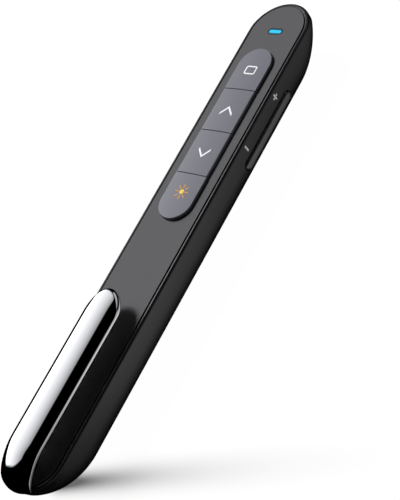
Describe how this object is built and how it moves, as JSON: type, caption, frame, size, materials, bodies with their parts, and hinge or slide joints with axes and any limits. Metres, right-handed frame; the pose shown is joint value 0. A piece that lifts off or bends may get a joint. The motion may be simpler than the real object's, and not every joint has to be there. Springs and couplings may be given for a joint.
{
  "type": "wireless presentation clicker",
  "caption": "Slim wand-like clicker with round ends: a strip of keys, a side rocker, a side slider, a domed clip over the tail, a laser exit in the nose and a USB receiver stowed in the back.",
  "frame": {"origin": "centre of the case's outline at the back, on the surface it lies on; the clip reaches 0.6 mm past the tail", "axes": "+Y from tail to nose, +X to the volume rocker, +Z out of the button face"},
  "size_m": [0.0234, 0.1656, 0.0215],
  "materials": {
    "case_plastic": "fine moulded texture",
    "plate_paint": "soft-touch paint",
    "key_plastic": "satin",
    "control_plastic": "satin",
    "clip_chrome": "plated, polished",
    "window_blue": "translucent",
    "window_red": "translucent",
    "screw_steel": "zinc plated",
    "board_green": "solder mask",
    "dome_steel": "stamped",
    "switch_black": "moulded",
    "switch_metal": "tinned",
    "led_white": "moulded",
    "barrel_brass": "turned",
    "lens_glass": "polished",
    "cell_label": "shrink sleeve",
    "contact_nickel": "nickel plated",
    "usb_steel": "nickel plated",
    "tongue_white": "moulded"
  },
  "bodies": {
    "body": {"lower_case": "case_plastic", "face_plate": "plate_paint", "led_lens": "window_blue", "clip_screw": "screw_steel", "main_board": "board_green", "board_screws": "screw_steel", "key_domes": "dome_steel", "volume_switches": "switch_black", "slide_switch": "switch_metal", "radio_chip": "switch_black", "crystal": "switch_metal", "status_led": "led_white", "laser_barrel": "barrel_brass", "laser_diode": "barrel_brass", "laser_lens": "lens_glass", "laser_window": "window_red", "battery_cell": "cell_label", "contact_plus": "contact_nickel", "contact_minus": "contact_nickel", "battery_spring": "contact_nickel", "battery_lead": "contact_nickel"},
    "blank_key": {"key_blank": "key_plastic"},
    "page_up_key": {"key_page_up": "key_plastic"},
    "page_down_key": {"key_page_down": "key_plastic"},
    "laser_key": {"key_laser": "key_plastic"},
    "rocker": {"volume_rocker": "control_plastic"},
    "slider": {"power_slider": "control_plastic"},
    "pocket_clip": {"clip": "clip_chrome"},
    "cover": {"battery_cover": "case_plastic"},
    "receiver": {"receiver_cap": "case_plastic", "receiver_shell": "usb_steel", "receiver_tongue": "tongue_white"}
  },
  "joints": [
    {"name": "blank_press", "type": "slide", "parent": "body", "child": "blank_key", "axis": [0, 0, -1], "range_m": [0, 0.0005], "stiffness_N_per_m": 800, "springref_m": -0.0003},
    {"name": "page_up_press", "type": "slide", "parent": "body", "child": "page_up_key", "axis": [0, 0, -1], "range_m": [0, 0.0005], "stiffness_N_per_m": 800, "springref_m": -0.0003},
    {"name": "page_down_press", "type": "slide", "parent": "body", "child": "page_down_key", "axis": [0, 0, -1], "range_m": [0, 0.0005], "stiffness_N_per_m": 800, "springref_m": -0.0003},
    {"name": "laser_press", "type": "slide", "parent": "body", "child": "laser_key", "axis": [0, 0, -1], "range_m": [0, 0.0005], "stiffness_N_per_m": 800, "springref_m": -0.0003},
    {"name": "rocker_tilt", "type": "hinge", "parent": "body", "child": "rocker", "pos_m": [0.0084, 0.0406, 0.008], "axis": [0, 0, 1], "range_deg": [-2.2, 2.2], "stiffness_Nm_per_rad": 0.02},
    {"name": "power_slide", "type": "slide", "parent": "body", "child": "slider", "axis": [0, 1, 0], "range_m": [0, 0.0025]},
    {"name": "clip_flex", "type": "hinge", "parent": "body", "child": "pocket_clip", "pos_m": [0, -0.0765, 0.0146], "axis": [1, 0, 0], "range_deg": [0, 3], "stiffness_Nm_per_rad": 2},
    {"name": "cover_swing", "type": "hinge", "parent": "body", "child": "cover", "pos_m": [0, -0.0523, 0], "axis": [-1, 0, 0], "range_deg": [0, 70]},
    {"name": "receiver_pull", "type": "slide", "parent": "body", "child": "receiver", "axis": [0, 0, -1], "range_m": [0, 0.015]}
  ]
}
